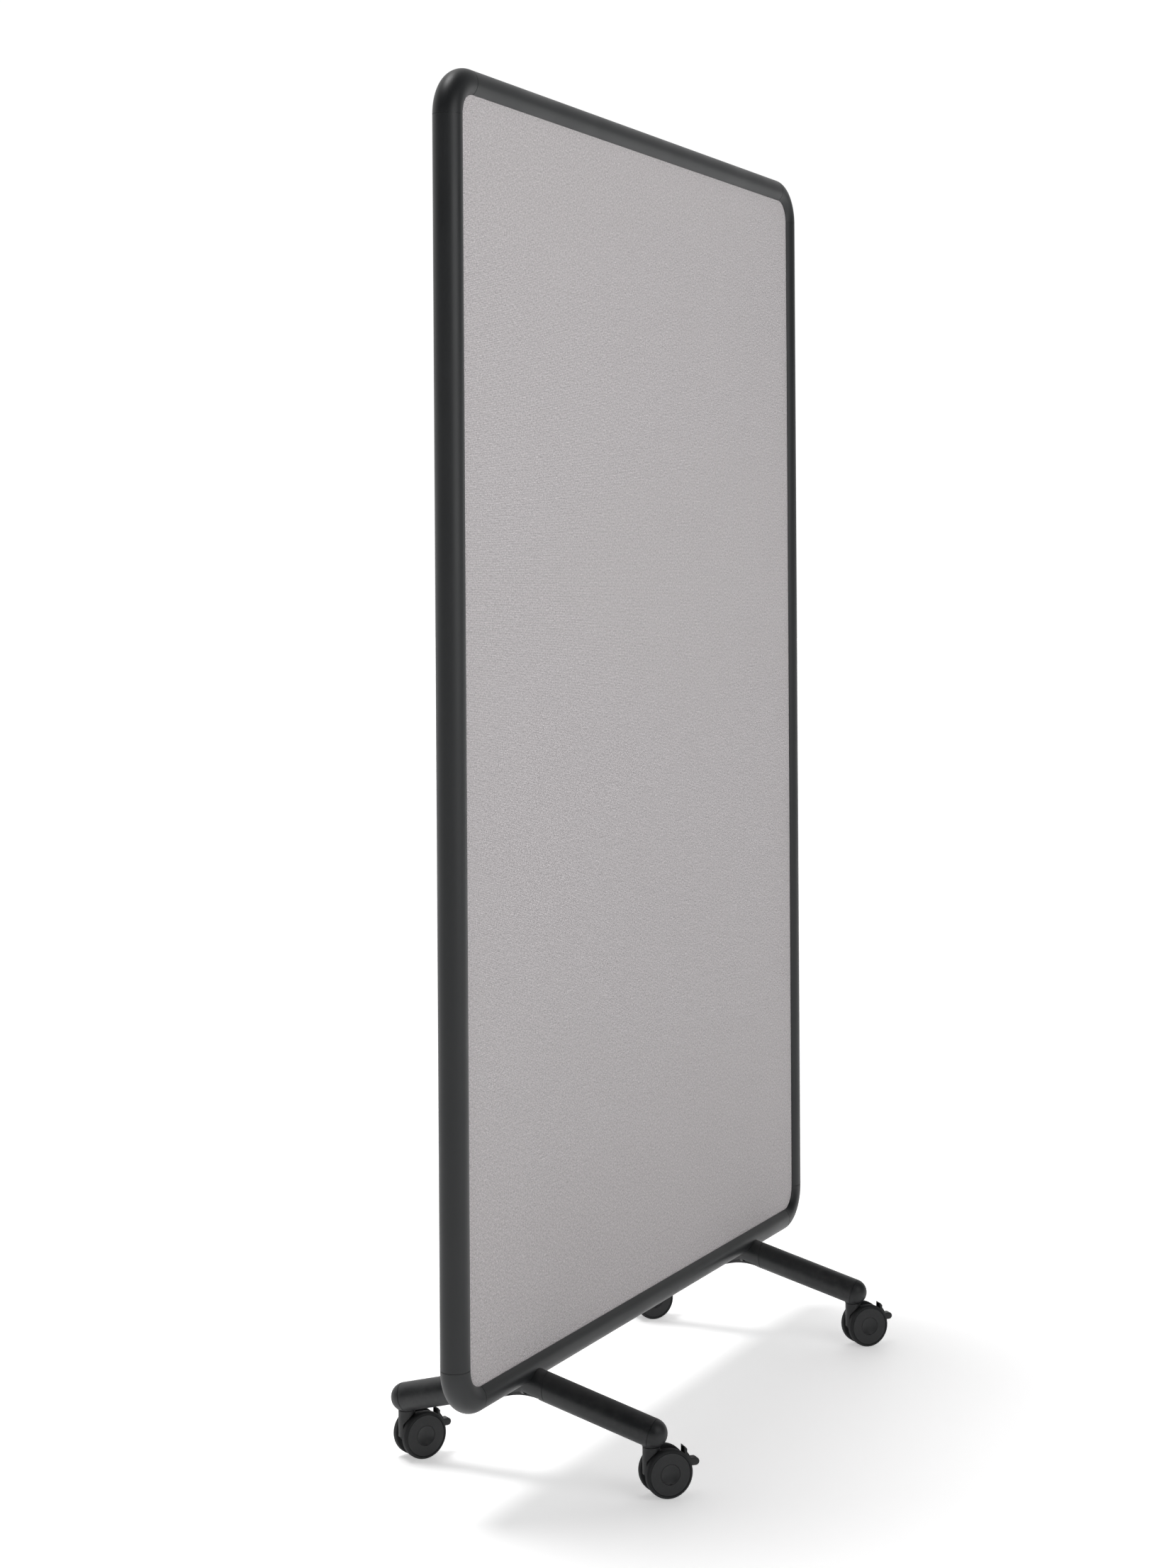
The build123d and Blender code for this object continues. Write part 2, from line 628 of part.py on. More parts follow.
def make_brake_lever(name, side_view):
    """Rocking brake lever: a curved band behind the wheels, with a release tab and a foot paddle."""
    with BuildPart() as lever:
        with BuildSketch(side_view):
            with Locations(from_wheel(0, 0)):
                Circle(BAND_OUTER_R)
                Circle(BAND_INNER_R, mode=Mode.SUBTRACT)
            with Locations(from_wheel(TAB_NEAR + TUBE_R, BAND_FOOT + TUBE_R)):
                Rectangle(2 * TUBE_R, 2 * TUBE_R, mode=Mode.INTERSECT)
            with BuildLine():
                Polyline(
                    from_wheel(TAB_NEAR, 24),
                    from_wheel(TAB_FAR, 24),
                    from_wheel(TAB_FAR, TAB_TOP - 4),
                    from_wheel(TAB_NEAR + 0.8, TAB_TOP),
                    from_wheel(TAB_NEAR, TAB_TOP),
                    close=True,
                )
            make_face()
            with Locations(from_wheel(*PADDLE_CENTRE)):
                Circle(PADDLE_R)
            with Locations(from_wheel(PADDLE_CENTRE[0] - 4.5, PADDLE_CENTRE[1])):
                Rectangle(9, 2 * PADDLE_R)
        extrude(amount=LEVER_HALF, both=True)
        tip = side_view.from_local_coords((*from_wheel(*PADDLE_CENTRE), 0))
        rim = [
            edge
            for edge in lever.edges().filter_by(GeomType.CIRCLE)
            if abs(edge.radius - PADDLE_R) < 0.01 and (edge.arc_center - tip).length > 1
        ]
        fillet(rim, radius=PADDLE_EDGE_R)
        with BuildSketch(side_view):
            with Locations(from_wheel(TAB_NEAR, TAB_TOP - TAB_LIP - 6)):
                Rectangle(3.6, 12)
        extrude(amount=LEVER_HALF - 2.4, both=True, mode=Mode.SUBTRACT)
        with BuildSketch(side_view):
            with Locations(from_wheel(*PIVOT)):
                Circle(LUG_R)
            with BuildLine():
                Polyline(
                    from_wheel(PIVOT[0] - 2, PIVOT[1] + 4.5),
                    from_wheel(30, 22),
                    from_wheel(36, 6),
                    from_wheel(PIVOT[0] + 2, PIVOT[1] - 4.5),
                    close=True,
                )
            make_face()
        extrude(amount=LUG_HALF, both=True)
        with BuildSketch(side_view):
            with Locations(from_wheel(*PIVOT)):
                Circle(PIVOT_R)
        extrude(amount=LEVER_HALF, both=True)
    save(lever, name)


def make_wheel(name, hub_view, way):
    """Wheel disc with a dished cap in its face, turning on the axle."""
    spin = Axis(hub_view.origin, hub_view.y_dir)
    with BuildPart() as wheel:
        with BuildSketch(hub_view):
            with BuildLine():
                Polyline(
                    (AXLE_R + RUNNING_GAP, way * HUB_BOSS_END),
                    (HUB_BOSS_R, way * HUB_BOSS_END),
                    (HUB_BOSS_R, way * HUB_WEB),
                    (HUB_RIM_R, way * HUB_WEB),
                    (HUB_RIM_R, way * WHEEL_INNER),
                    (HUB_R, way * WHEEL_INNER),
                    (HUB_R, way * (WHEEL_FACE - HUB_CHAMFER)),
                    (HUB_R - HUB_CHAMFER, way * WHEEL_FACE),
                    (CAP_SEAT_R, way * WHEEL_FACE),
                    (CAP_SEAT_R, way * CAP_SEAT),
                    (AXLE_R + RUNNING_GAP, way * CAP_SEAT),
                    close=True,
                )
            make_face()
        revolve(axis=spin)
        with BuildSketch(hub_view):
            with BuildLine():
                Polyline(
                    (0, way * DISH_FLOOR),
                    (0, way * (CAP_SEAT + LAYER_GAP)),
                    (CAP_R, way * (CAP_SEAT + LAYER_GAP)),
                    (CAP_R, way * CAP_FACE),
                    (CAP_R - 0.8, way * CAP_FACE),
                )
                ThreePointArc(
                    (CAP_R - 0.8, way * CAP_FACE),
                    (CAP_R / 2, way * (DISH_FLOOR + 1.0)),
                    (0, way * DISH_FLOOR),
                )
            make_face()
        revolve(axis=spin)
        with BuildSketch(hub_view.offset(CAP_R)):
            with Locations((0, way * CAP_FACE)):
                Rectangle(3.6, 2.4)
        extrude(amount=-1.4, mode=Mode.SUBTRACT)
    save(wheel, name)


def make_tyre(name, hub_view, way):
    """Soft tread ring round the wheel disc, with rounded shoulders."""
    with BuildPart() as tyre:
        with BuildSketch(hub_view):
            with BuildLine():
                Polyline(
                    (WHEEL_R - 2.5, way * WHEEL_INNER),
                    (HUB_R, way * WHEEL_INNER),
                    (HUB_R, way * WHEEL_FACE),
                    (HUB_R + 0.5, way * WHEEL_FACE),
                )
                RadiusArc(
                    (HUB_R + 0.5, way * WHEEL_FACE), (WHEEL_R, way * (WHEEL_FACE - 4)), way * 4
                )
                Line((WHEEL_R, way * (WHEEL_FACE - 4)), (WHEEL_R, way * (WHEEL_INNER + 2.5)))
                RadiusArc(
                    (WHEEL_R, way * (WHEEL_INNER + 2.5)), (WHEEL_R - 2.5, way * WHEEL_INNER), way * 2.5
                )
            make_face()
        revolve(axis=Axis(hub_view.origin, hub_view.y_dir))
    save(tyre, name)


for name, side_x, side_y, heading in CASTERS:
    trail = Vector(cos(radians(heading)), sin(radians(heading)), 0)
    axle = Vector(sin(radians(heading)), -cos(radians(heading)), 0)
    foot = Vector(side_x * FOOT_X, side_y * STEM_Y, 0)
    # side_view: +X along the trail and +Y up; hub_view: +X along the trail and +Y along the axle
    side_view = Plane(origin=foot, x_dir=trail, z_dir=axle)
    hub_view = Plane(origin=foot + trail * TRAIL + Vector(0, 0, WHEEL_R), x_dir=trail, z_dir=(0, 0, -1))
    make_housing(f"{name}_caster_housing", side_view)
    make_stem(f"{name}_caster_stem", side_view)
    make_axle(f"{name}_caster_axle", side_view)
    make_brake_lever(f"{name}_brake_lever", side_view)
    for place, way in (("outer", 1), ("inner", -1)):
        make_wheel(f"{name}_{place}_wheel", hub_view, way)
        make_tyre(f"{name}_{place}_tyre", hub_view, way)
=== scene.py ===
"""Looks of the mobile partition wall: stretched covers, finishes, floor, light and camera."""

import json
import math

import bmesh
import bpy
from mathutils import Matrix, Vector, noise


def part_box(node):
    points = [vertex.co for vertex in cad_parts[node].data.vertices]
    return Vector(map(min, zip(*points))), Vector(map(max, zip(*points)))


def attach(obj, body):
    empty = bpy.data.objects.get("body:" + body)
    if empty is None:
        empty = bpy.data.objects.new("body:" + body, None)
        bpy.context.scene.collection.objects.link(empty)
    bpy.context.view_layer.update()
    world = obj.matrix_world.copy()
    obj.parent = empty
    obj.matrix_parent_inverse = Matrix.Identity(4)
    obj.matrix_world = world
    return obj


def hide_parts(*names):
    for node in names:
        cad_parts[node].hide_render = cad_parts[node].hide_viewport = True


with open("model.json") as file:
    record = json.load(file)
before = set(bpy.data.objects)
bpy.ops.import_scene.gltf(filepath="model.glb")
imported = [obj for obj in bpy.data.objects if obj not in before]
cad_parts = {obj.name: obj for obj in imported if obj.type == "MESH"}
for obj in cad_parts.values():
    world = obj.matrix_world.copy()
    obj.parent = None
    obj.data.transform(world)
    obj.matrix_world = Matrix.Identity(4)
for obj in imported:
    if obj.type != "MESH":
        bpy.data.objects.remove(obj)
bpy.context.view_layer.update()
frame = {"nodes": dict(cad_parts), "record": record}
scene = bpy.context.scene


# ---------------------------------------------------------------- camera

# Solved from the photograph's straight edges. Headings turn from +Y towards +X.
CAMERA_PLACE = Vector((-4.0839, -1.8837, 1.3817))
CAMERA_HEADING = math.radians(64.11)
CAMERA_ROLL = math.radians(0.36)
CAMERA_SENSOR_MM = 36
CAMERA_LENS_MM = 60.68
CAMERA_SHIFT_Y = -0.1262

ahead = Vector((math.sin(CAMERA_HEADING), math.cos(CAMERA_HEADING), 0))
right = Vector((math.cos(CAMERA_HEADING), -math.sin(CAMERA_HEADING), 0))
up = Vector((0, 0, 1))
camera_x = right * math.cos(CAMERA_ROLL) - up * math.sin(CAMERA_ROLL)
camera_y = up * math.cos(CAMERA_ROLL) + right * math.sin(CAMERA_ROLL)

camera_data = bpy.data.cameras.new("camera")
camera_data.sensor_width = CAMERA_SENSOR_MM
camera_data.lens = CAMERA_LENS_MM
camera_data.shift_y = CAMERA_SHIFT_Y
camera = bpy.data.objects.new("camera", camera_data)
turned = Matrix((camera_x, camera_y, -ahead)).transposed().to_4x4()
camera.matrix_world = Matrix.Translation(CAMERA_PLACE) @ turned
scene.collection.objects.link(camera)
scene.camera = camera
scene.view_settings.view_transform = "Standard"


# ---------------------------------------------------------------- materials

# A Mix node's colour sockets go by number, as its socket names repeat for each type of data
MIX_FIRST, MIX_SECOND, MIX_RESULT = 6, 7, 2


class Finish:
    """A node material built from the object's own coordinates, in metres."""

    def __init__(self, name):
        self.material = bpy.data.materials.new(name)
        self.material.use_nodes = True
        self.tree = self.material.node_tree
        self.shader = self.tree.nodes["Principled BSDF"]
        self.place = self.add("ShaderNodeTexCoord").outputs["Object"]
        self.relief = None

    def add(self, kind, inputs=None, **settings):
        """Adds a node, with sockets or plain values on its inputs."""
        made = self.tree.nodes.new(kind)
        for key, value in settings.items():
            setattr(made, key, value)
        for key, value in (inputs or {}).items():
            if isinstance(value, bpy.types.NodeSocket):
                self.tree.links.new(value, made.inputs[key])
            else:
                made.inputs[key].default_value = value
        return made

    def stretched(self, scale, source=None):
        """The coordinates multiplied by a scale on each axis."""
        inputs = {"Vector": source or self.place, "Scale": scale}
        return self.add("ShaderNodeMapping", inputs).outputs["Vector"]

    def noise(self, scale, detail=2.0, roughness=0.5, source=None):
        """Noise whose features are about 1/scale metres across."""
        inputs = {"Scale": scale, "Detail": detail, "Roughness": roughness}
        inputs["Vector"] = source or self.place
        return self.add("ShaderNodeTexNoise", inputs).outputs["Fac"]

    def ramp(self, value, low, high, to_low=0.0, to_high=1.0):
        """A value's range from low to high, remapped and clamped."""
        inputs = {"Value": value, "From Min": low, "From Max": high}
        inputs |= {"To Min": to_low, "To Max": to_high}
        return self.add("ShaderNodeMapRange", inputs).outputs["Result"]

    def math(self, operation, first, second=0.0):
        """One arithmetic step."""
        return self.add("ShaderNodeMath", {0: first, 1: second}, operation=operation).outputs[0]

    def mix(self, factor, first, second):
        """Blends two colours."""
        made = self.add("ShaderNodeMix", {"Factor": factor}, data_type="RGBA")
        for key, value in ((MIX_FIRST, first), (MIX_SECOND, second)):
            if isinstance(value, bpy.types.NodeSocket):
                self.tree.links.new(value, made.inputs[key])
            else:
                made.inputs[key].default_value = (*value, 1)
        return made.outputs[MIX_RESULT]

    def bump(self, height, distance, strength=1.0):
        """Lays one more relief over those already there."""
        inputs = {"Height": height, "Distance": distance, "Strength": strength}
        if self.relief is not None:
            inputs["Normal"] = self.relief
        self.relief = self.add("ShaderNodeBump", inputs).outputs["Normal"]

    def finish(self, colour, roughness, **plain):
        """Connects the shader; plain values go straight on its sockets."""
        self.tree.links.new(colour, self.shader.inputs["Base Color"])
        self.tree.links.new(roughness, self.shader.inputs["Roughness"])
        if self.relief is not None:
            self.tree.links.new(self.relief, self.shader.inputs["Normal"])
        for key, value in plain.items():
            self.shader.inputs[key.replace("_", " ")].default_value = value
        return self.material


def powder_coat(name, base, light, grain):
    """Satin powder coat: fine orange peel, slow changes in gloss and a trace of dust low down."""
    coat = Finish(name)
    peel = coat.noise(grain, 3.0, 0.6)
    slow = coat.noise(9.0, 3.0)
    speckle = coat.noise(2600.0, 2.0)
    height = coat.add("ShaderNodeSeparateXYZ", {"Vector": coat.place}).outputs["Z"]
    low_down = coat.ramp(height, 0.02, 0.20, 1.0, 0.0)
    dust = coat.math("MULTIPLY", low_down, coat.ramp(coat.noise(60.0, 5.0, 0.7), 0.45, 0.75))
    colour = coat.mix(coat.ramp(slow, 0.3, 0.7), base, light)
    bright = tuple(2.0 * c for c in light)
    colour = coat.mix(coat.ramp(speckle, 0.55, 0.8, 0.0, 0.35), colour, bright)
    colour = coat.mix(coat.math("MULTIPLY", dust, 0.25), colour, (0.16, 0.155, 0.15))
    rough = coat.ramp(slow, 0.25, 0.75, 0.40, 0.50)
    rough = coat.math("ADD", rough, coat.math("MULTIPLY", dust, 0.25))
    coat.bump(peel, 0.00005, 0.6)
    return coat.finish(colour, rough, Specular_IOR_Level=0.5)


def moulded(name, base, light, rough_low, rough_high):
    """Moulded plastic: a fine spark-eroded grain with faint flow marks and handling dust."""
    plastic = Finish(name)
    cells = plastic.add("ShaderNodeTexVoronoi", {"Vector": plastic.place, "Scale": 1500.0})
    grain = cells.outputs["Distance"]
    flow = plastic.noise(40.0, 4.0, 0.6)
    dust = plastic.ramp(plastic.noise(220.0, 6.0, 0.75), 0.52, 0.80, 0.0, 0.10)
    colour = plastic.mix(plastic.ramp(flow, 0.3, 0.7), base, light)
    colour = plastic.mix(dust, colour, (0.12, 0.12, 0.122))
    rough = plastic.ramp(flow, 0.3, 0.7, rough_low, rough_high)
    plastic.bump(grain, 0.00004, 0.5)
    return plastic.finish(colour, rough, Specular_IOR_Level=0.45)


def rubbery(name, base, light):
    """Matt rubber or soft tread with fine pores and floor dust."""
    rubber = Finish(name)
    pores = rubber.noise(1800.0, 3.0, 0.7)
    patches = rubber.noise(70.0, 5.0, 0.65)
    colour = rubber.mix(rubber.ramp(patches, 0.35, 0.75), base, light)
    rough = rubber.ramp(pores, 0.3, 0.7, 0.68, 0.85)
    rubber.bump(pores, 0.00006, 0.6)
    return rubber.finish(colour, rough, Specular_IOR_Level=0.35)


def plated(name, base):
    """Zinc-plated or blackened steel with fine drawn lines."""
    steel = Finish(name)
    lines = steel.noise(900.0, 4.0, 0.6, steel.stretched((1.0, 1.0, 0.05)))
    blotch = steel.noise(120.0, 3.0)
    colour = steel.mix(steel.ramp(blotch, 0.3, 0.7), base, tuple(1.25 * c for c in base))
    rough = steel.ramp(lines, 0.3, 0.7, 0.28, 0.42)
    steel.bump(lines, 0.00003, 0.4)
    return steel.finish(colour, rough, Metallic=1.0)


def fibrous(name, base, light, scale):
    """Felted wadding or pressed fibre board."""
    felt = Finish(name)
    fibres = felt.noise(scale, 8.0, 0.75)
    clumps = felt.noise(scale / 12, 4.0, 0.6)
    colour = felt.mix(felt.ramp(clumps, 0.3, 0.7), base, light)
    rough = felt.ramp(fibres, 0.3, 0.7, 0.85, 0.98)
    felt.bump(fibres, 0.0004, 0.8)
    return felt.finish(colour, rough, Sheen_Weight=0.3, Specular_IOR_Level=0.2)


def planed_wood(name):
    """Planed softwood: long growth rings, fine pores."""
    wood = Finish(name)
    along = wood.stretched((1.0, 1.0, 0.06))
    rings = wood.add(
        "ShaderNodeTexWave",
        {"Vector": along, "Scale": 55.0, "Distortion": 6.0, "Detail": 3.0, "Detail Scale": 1.5},
    ).outputs["Fac"]
    pores = wood.noise(900.0, 4.0, 0.6, along)
    colour = wood.mix(rings, (0.56, 0.39, 0.22), (0.68, 0.51, 0.31))
    rough = wood.ramp(pores, 0.3, 0.7, 0.55, 0.72)
    wood.bump(pores, 0.0001, 0.5)
    return wood.finish(colour, rough, Specular_IOR_Level=0.3)


WARP_PITCH = 0.0013
RIB_PITCH = 0.0026
YARN_WANDER = 0.0014


def cover_cloth(name):
    """Light grey melange upholstery cloth: fine level ribs over upright yarns, with soft sheen."""
    cloth = Finish(name)
    cut = cloth.add("ShaderNodeUVMap", uv_map="cut").outputs["UV"]
    swirl = cloth.add("ShaderNodeTexNoise", {"Vector": cut, "Scale": 30.0, "Detail": 2.0})

    def combine(operation, first, second):
        """One step on vectors; SCALE takes a plain number second."""
        inputs = {0: first, "Scale" if operation == "SCALE" else 1: second}
        return cloth.add("ShaderNodeVectorMath", inputs, operation=operation).outputs[0]

    centred = combine("SUBTRACT", swirl.outputs["Color"], (0.5, 0.5, 0.5))
    laid = combine("ADD", cut, combine("SCALE", centred, YARN_WANDER))

    def yarns(pitch, direction):
        """Ribs with a given spacing in metres, running across a direction."""
        turned = cloth.add("ShaderNodeMapping", {"Vector": laid, "Rotation": (0, 0, direction)})
        # A wave texture repeats every pi / (10 * scale) metres
        inputs = {"Vector": turned.outputs["Vector"], "Scale": math.pi / (10 * pitch)}
        return cloth.add("ShaderNodeTexWave", inputs, bands_direction="X").outputs["Fac"]

    warp = yarns(WARP_PITCH, 0.0)
    rib = yarns(RIB_PITCH, math.pi / 2)
    slub = cloth.noise(1.0, 2.0, 0.6, cloth.stretched((130.0, 620.0, 1.0), laid))
    melange = cloth.noise(300.0, 3.0, 0.8, laid)
    fleck = cloth.noise(1300.0, 4.0, 0.7, laid)
    patch = cloth.noise(5.0, 3.0, 0.5, laid)

    light, dark = (0.740, 0.701, 0.712), (0.385, 0.364, 0.371)
    broad, fine = cloth.math("MULTIPLY", melange, 0.75), cloth.math("MULTIPLY", slub, 0.25)
    tone = cloth.math("ADD", broad, fine)
    colour = cloth.mix(cloth.ramp(tone, 0.38, 0.62), dark, light)
    pale_fleck, painted_groove_shade, faded = (0.74, 0.705, 0.715), (0.34, 0.322, 0.328), (0.66, 0.630, 0.638)
    colour = cloth.mix(cloth.ramp(fleck, 0.50, 0.75, 0.0, 0.40), colour, pale_fleck)
    # Painted shade: the colour is darkened in the grooves between the ribs, where the relief is low
    colour = cloth.mix(cloth.ramp(rib, 0.0, 0.5, 0.32, 0.0), colour, painted_groove_shade)
    colour = cloth.mix(cloth.ramp(patch, 0.3, 0.7, 0.0, 0.06), colour, faded)
    cloth.bump(warp, 0.0002, 0.5)
    cloth.bump(rib, 0.0004, 0.6)
    cloth.bump(fleck, 0.0002, 0.5)
    rough = cloth.ramp(rib, 0.0, 1.0, 0.95, 0.82)
    soft = {"Sheen_Weight": 0.25, "Sheen_Roughness": 0.5, "Specular_IOR_Level": 0.2}
    return cloth.finish(colour, rough, **soft)


def pale_floor(name):
    """Pale studio floor, barely mottled, which glows a little to stay near white round the wall."""
    floor = Finish(name)
    mottle = floor.noise(1.6, 4.0, 0.55)
    colour = floor.mix(floor.ramp(mottle, 0.3, 0.7), (0.86,) * 3, (0.88,) * 3)
    rough = floor.ramp(mottle, 0.3, 0.7, 0.55, 0.65)
    glow = {"Specular_IOR_Level": 0.3, "Emission_Color": (1, 1, 1, 1), "Emission_Strength": 0.45}
    return floor.finish(colour, rough, **glow)


# Each finish's base colour and its lighter patches
FRAME_TONES = (0.0098, 0.0110, 0.0121), (0.0122, 0.0136, 0.0149)
CASTING_TONES = (0.0097, 0.0109, 0.0120), (0.0125, 0.0139, 0.0152)
CAP_TONES = (0.0118, 0.0129, 0.0139), (0.0148, 0.0161, 0.0173)
CASTER_TONES = (0.0140, 0.0148, 0.0158), (0.0182, 0.0192, 0.0205)
TREAD_TONES = (0.0155, 0.0163, 0.0172), (0.0225, 0.0236, 0.0248)
FINISHES = {
    "frame_coat": powder_coat("frame_coat", *FRAME_TONES, 650.0),
    "casting_coat": powder_coat("casting_coat", *CASTING_TONES, 450.0),
    "cap_plastic": moulded("cap_plastic", *CAP_TONES, 0.42, 0.52),
    "caster_plastic": moulded("caster_plastic", *CASTER_TONES, 0.45, 0.58),
    "tread": rubbery("tread", *TREAD_TONES),
    "seal_rubber": rubbery("seal_rubber", (0.008,) * 3, (0.014,) * 3),
    "block_rubber": rubbery("block_rubber", (0.014,) * 3, (0.022,) * 3),
    "zinc_steel": plated("zinc_steel", (0.52, 0.53, 0.54)),
    "dark_steel": plated("dark_steel", (0.05, 0.05, 0.055)),
    "padding_felt": fibrous("padding_felt", (0.70, 0.70, 0.69), (0.78, 0.78, 0.77), 900.0),
    "absorber": fibrous("absorber", (0.56, 0.56, 0.54), (0.64, 0.64, 0.62), 600.0),
    "batten_wood": planed_wood("batten_wood"),
    "cover_fabric": cover_cloth("cover_fabric"),
}

for part in frame["record"]["subparts"]:
    surface = frame["nodes"][part["node"]].data.materials
    surface.clear()
    surface.append(FINISHES[part["material_slot"]])


# ---------------------------------------------------------------- covers

# Radii of the panel's edge and of its corners, seen from the front
EDGE_ROUNDING = 0.004
PANEL_CORNER = 0.046

# The cloth's grid: its pitch on the face, and its first lines' distances from the cut edge
FACE_PITCH = 0.022
EDGE_LINES = (0.0, 0.004, 0.0075, 0.009, 0.0105, 0.012, 0.0135, 0.015, 0.02, 0.03, 0.045, 0.065)

# The wadding's push: its limit, the held rim's width on the face, and the frames it takes
PAD_SWELL = 0.0012
HELD_RIM = 0.002
SETTLE_FRAMES = 14

# Hollows and rises of the cloth, full this far in from the edge
FREE_REACH = 0.12
SLOW_RISE = 0.0005
SHORT_RISE = 0.00012


def spacing(half):
    """Grid lines from one cut edge to the other: close together where the cloth turns the edge."""
    middle = 2 * (half - EDGE_LINES[-1])
    steps = round(middle / FACE_PITCH)
    lines = [-half + d for d in EDGE_LINES]
    lines += [-half + EDGE_LINES[-1] + middle * i / steps for i in range(1, steps)]
    lines += [half - d for d in reversed(EDGE_LINES)]
    return lines


def make_cover(name, side_y):
    """A cover cut as a rounded rectangle, stretched over one face and round the panel's edge."""
    low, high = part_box(name)
    middle = (low + high) / 2
    half_x, half_z = (high.x - low.x) / 2, (high.z - low.z) / 2
    face_y = max(abs(low.y), abs(high.y))
    edge_y = min(abs(low.y), abs(high.y))
    turn = EDGE_ROUNDING * math.pi / 2
    tuck = face_y - EDGE_ROUNDING - edge_y
    wrap = turn + tuck
    flat_corner = PANEL_CORNER - EDGE_ROUNDING
    cut_corner = flat_corner + wrap
    cut_x, cut_z = half_x - EDGE_ROUNDING + wrap, half_z - EDGE_ROUNDING + wrap

    def settle(x, z):
        """Where a point of the cut cloth lies once it is stretched over the panel."""
        a, b = abs(x) - (cut_x - cut_corner), abs(z) - (cut_z - cut_corner)
        reach = max(a, b)
        if a > 0 and b > 0:
            angle = math.pi / 4 * (b / a if a > b else 2 - a / b)
            way = Vector((math.cos(angle), math.sin(angle)))
        past = reach - flat_corner
        if past <= 0:
            out, depth = reach, face_y
        elif past < turn:
            bend = past / EDGE_ROUNDING
            out = flat_corner + EDGE_ROUNDING * math.sin(bend)
            depth = face_y - EDGE_ROUNDING * (1 - math.cos(bend))
        else:
            out, depth = PANEL_CORNER, face_y - EDGE_ROUNDING - (past - turn)
        core = Vector((cut_x - cut_corner, cut_z - cut_corner))
        spot = Vector((abs(x), abs(z)))
        if a > 0 and b > 0:
            spot = core + way * out
        elif a > max(b, 0):
            spot.x = core.x + out
        elif b > 0:
            spot.y = core.y + out
        return math.copysign(spot.x, x), math.copysign(spot.y, z), depth, -past

    mesh = bpy.data.meshes.new(f"{name}_cloth")
    shape = bmesh.new()
    cut = shape.loops.layers.uv.new("cut")
    columns, rows = spacing(cut_x), spacing(cut_z)
    grid, placed = [], {}
    for z in rows:
        line = []
        for x in columns:
            spot_x, spot_z, depth, inside = settle(x, z)
            vertex = shape.verts.new((middle.x + spot_x, side_y * depth, middle.z + spot_z))
            placed[vertex] = (x, z, inside)
            line.append(vertex)
        grid.append(line)
    for lower, upper in zip(grid, grid[1:]):
        for i in range(len(lower) - 1):
            corners = (lower[i], lower[i + 1], upper[i + 1], upper[i])
            face = shape.faces.new(corners if side_y < 0 else corners[::-1])
            face.smooth = True
            for loop in face.loops:
                loop[cut].uv = placed[loop.vert][:2]
    inside = [placed[v][2] for v in shape.verts]
    shape.to_mesh(mesh)
    shape.free()
    cover = bpy.data.objects.new(f"{name}_cloth", mesh)
    scene.collection.objects.link(cover)
    mesh.materials.append(FINISHES["cover_fabric"])
    area = 4 * cut_x * cut_z - (4 - math.pi) * cut_corner**2
    return cover, inside, (2 * cut_x, 2 * cut_z), area


def swell(cover, inside, side_y):
    """Lets the wadding push the stretched cloth out a little, held all round by the turned edge."""
    rest = [v.co.copy() for v in cover.data.vertices]
    held = cover.vertex_groups.new(name="held")
    held.add([i for i, depth in enumerate(inside) if depth < HELD_RIM], 1.0, "REPLACE")
    cloth = cover.modifiers.new("stretch", "CLOTH")
    cloth.settings.quality = 5
    cloth.settings.mass = 0.3
    cloth.settings.tension_stiffness = 40
    cloth.settings.compression_stiffness = 40
    cloth.settings.shear_stiffness = 20
    cloth.settings.bending_stiffness = 2
    cloth.settings.vertex_group_mass = "held"
    cloth.settings.use_pressure = True
    cloth.settings.uniform_pressure_force = 1.5
    cloth.settings.effector_weights.gravity = 0
    cloth.point_cache.frame_start = 1
    cloth.point_cache.frame_end = SETTLE_FRAMES
    for number in range(1, SETTLE_FRAMES + 1):
        scene.frame_set(number)
        bpy.context.view_layer.update()
    evaluated = cover.evaluated_get(bpy.context.evaluated_depsgraph_get())
    moved = [v.co.copy() for v in evaluated.data.vertices]
    cover.modifiers.clear()
    cover.vertex_groups.clear()
    scene.frame_set(1)
    for vertex, before, after in zip(cover.data.vertices, rest, moved):
        step = after - before
        step.length = min(step.length, PAD_SWELL) if step.length else 0.0
        step.y = side_y * abs(step.y)
        vertex.co = before + step


def relax(cover, inside, side_y):
    """Adds the slow hollows and rises that cloth over wadding keeps, fading out at the edge."""
    for vertex, depth in zip(cover.data.vertices, inside):
        if depth > 0:
            free = min(depth / FREE_REACH, 1.0)
            slow = noise.noise(Vector((vertex.co.x * 2.3, side_y * 4.0, vertex.co.z * 1.7)))
            short = noise.noise(Vector((vertex.co.x * 9.0, side_y * 9.0, vertex.co.z * 7.0)))
            vertex.co.y += side_y * free * (SLOW_RISE * slow + SHORT_RISE * short)


for side, side_y in (("front", -1), ("back", 1)):
    cover, inside, flat, area = make_cover(f"{side}_fabric", side_y)
    swell(cover, inside, side_y)
    relax(cover, inside, side_y)
    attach(cover, "frame")
    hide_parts(f"{side}_fabric")


# ---------------------------------------------------------------- studio

FLOOR_REACH = 60.0

# The backdrop's brightest heading, and the light it gives at two levels of facing that way
BRIGHT_HEADING = math.radians(46)
DIM_FACING, DIM_LIGHT = -0.06, 0.03
BRIGHT_FACING, BRIGHT_LIGHT = 0.84, 1.02


def make_floor():
    """Plain level floor, wide enough to reach the horizon."""
    mesh = bpy.data.meshes.new("studio_floor")
    shape = bmesh.new()
    bmesh.ops.create_grid(shape, x_segments=8, y_segments=8, size=FLOOR_REACH)
    shape.to_mesh(mesh)
    shape.free()
    floor = bpy.data.objects.new("studio_floor", mesh)
    mesh.materials.append(pale_floor("studio_floor"))
    scene.collection.objects.link(floor)


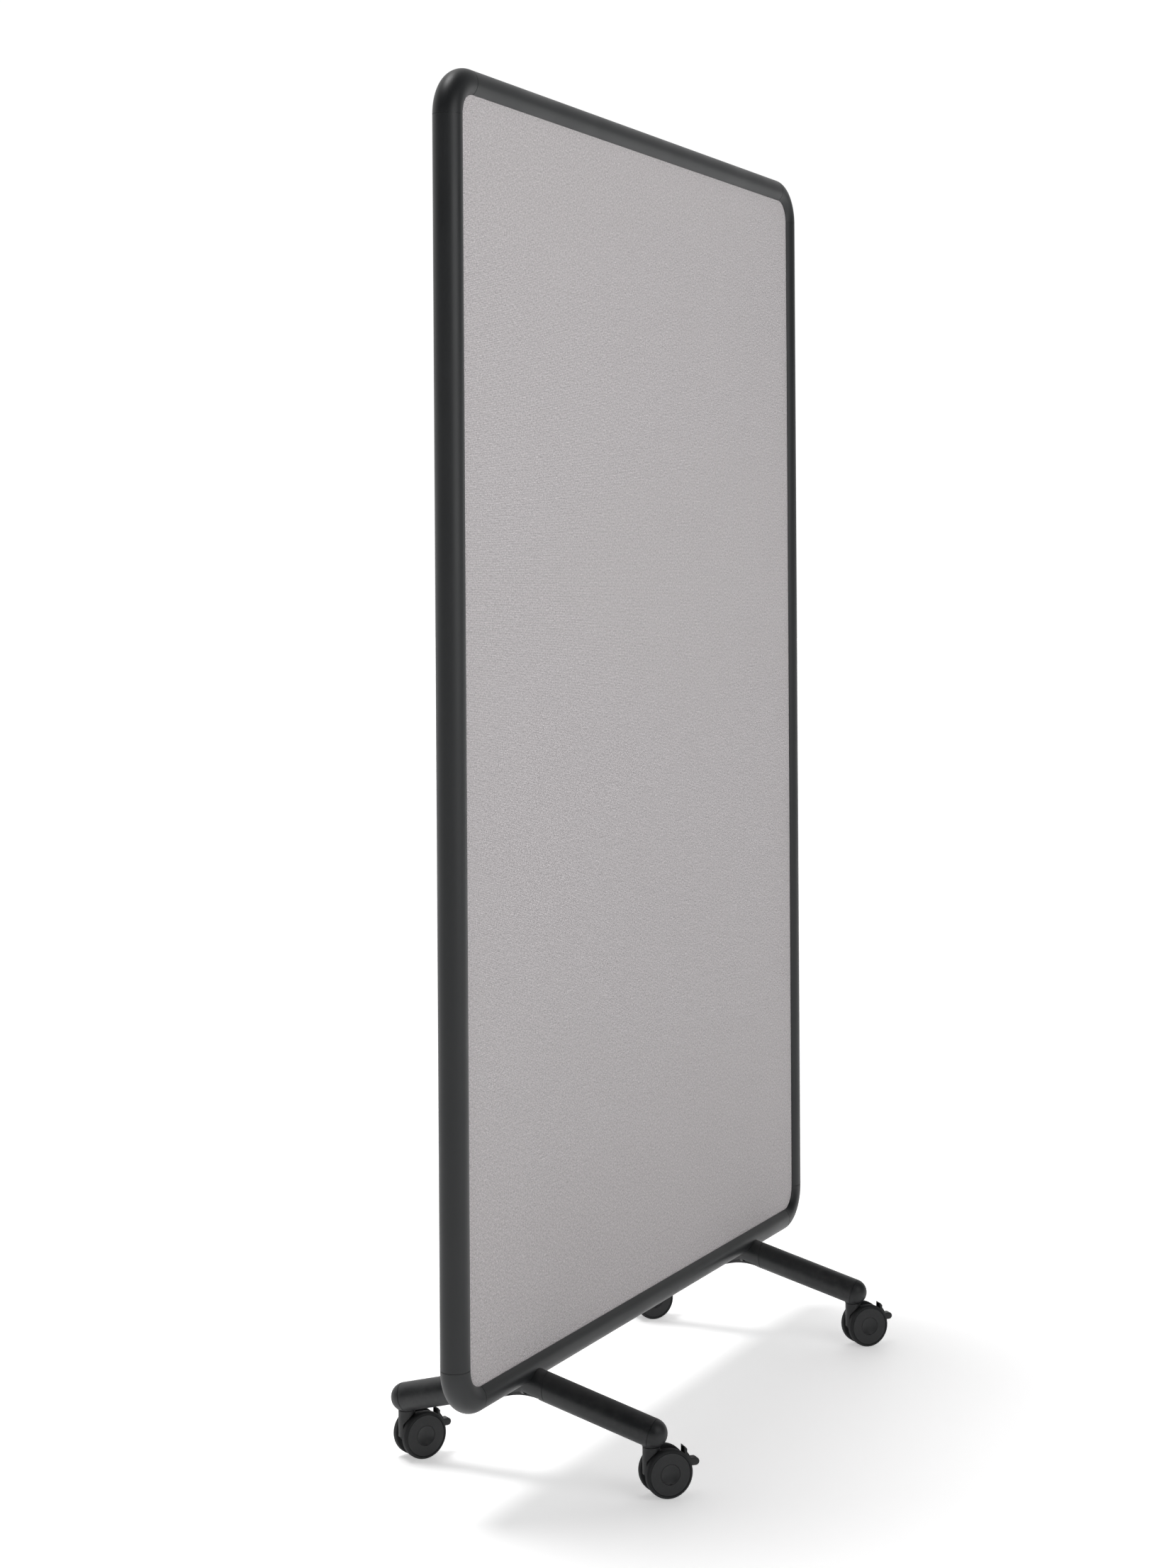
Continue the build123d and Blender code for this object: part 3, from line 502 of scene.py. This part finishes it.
def make_surround():
    """Backdrop that looks white; its light fades in front of the wall and behind the camera."""
    world = bpy.data.worlds.new("studio")
    world.use_nodes = True
    tree = world.node_tree
    direction = tree.nodes.new("ShaderNodeTexCoord").outputs["Generated"]
    facing = tree.nodes.new("ShaderNodeVectorMath")
    facing.operation = "DOT_PRODUCT"
    brightest = (math.sin(BRIGHT_HEADING), math.cos(BRIGHT_HEADING), 0)
    facing.inputs[1].default_value = brightest
    tree.links.new(direction, facing.inputs[0])
    level = tree.nodes.new("ShaderNodeMapRange")
    level.interpolation_type = "SMOOTHSTEP"
    level.inputs["From Min"].default_value = DIM_FACING
    level.inputs["From Max"].default_value = BRIGHT_FACING
    level.inputs["To Min"].default_value = DIM_LIGHT
    level.inputs["To Max"].default_value = BRIGHT_LIGHT
    tree.links.new(facing.outputs["Value"], level.inputs["Value"])
    backdrop = tree.nodes.new("ShaderNodeMath")
    backdrop.operation = "MAXIMUM"
    tree.links.new(level.outputs["Result"], backdrop.inputs[0])
    ray = tree.nodes.new("ShaderNodeLightPath")
    tree.links.new(ray.outputs["Is Camera Ray"], backdrop.inputs[1])
    background = tree.nodes["Background"]
    background.inputs["Color"].default_value = (1, 1, 1, 1)
    tree.links.new(backdrop.outputs[0], background.inputs["Strength"])
    scene.world = world


def add_softbox(name, place, target, width, height, power):
    """Rectangular soft light aimed at a point."""
    data = bpy.data.lights.new(name, "AREA")
    data.shape = "RECTANGLE"
    data.size, data.size_y = width, height
    data.energy = power
    light = bpy.data.objects.new(name, data)
    light.location = place
    light.rotation_mode = "QUATERNION"
    light.rotation_quaternion = (Vector(target) - Vector(place)).to_track_quat("-Z", "Y")
    scene.collection.objects.link(light)


def add_overhead(tilt, softness, strength):
    """Broad light from above and a little behind, whose shadow falls in front of the wall."""
    data = bpy.data.lights.new("overhead", "SUN")
    data.energy = strength
    data.angle = softness
    light = bpy.data.objects.new("overhead", data)
    light.rotation_euler = (-tilt, 0, 0)
    scene.collection.objects.link(light)


make_floor()
make_surround()
add_overhead(tilt=math.radians(16), softness=math.radians(24), strength=1.5)
add_softbox(
    "front", place=(-1.0, -2.8, 2.2), target=(-0.1, 0, 1.3), width=2.2, height=2.2, power=28
)
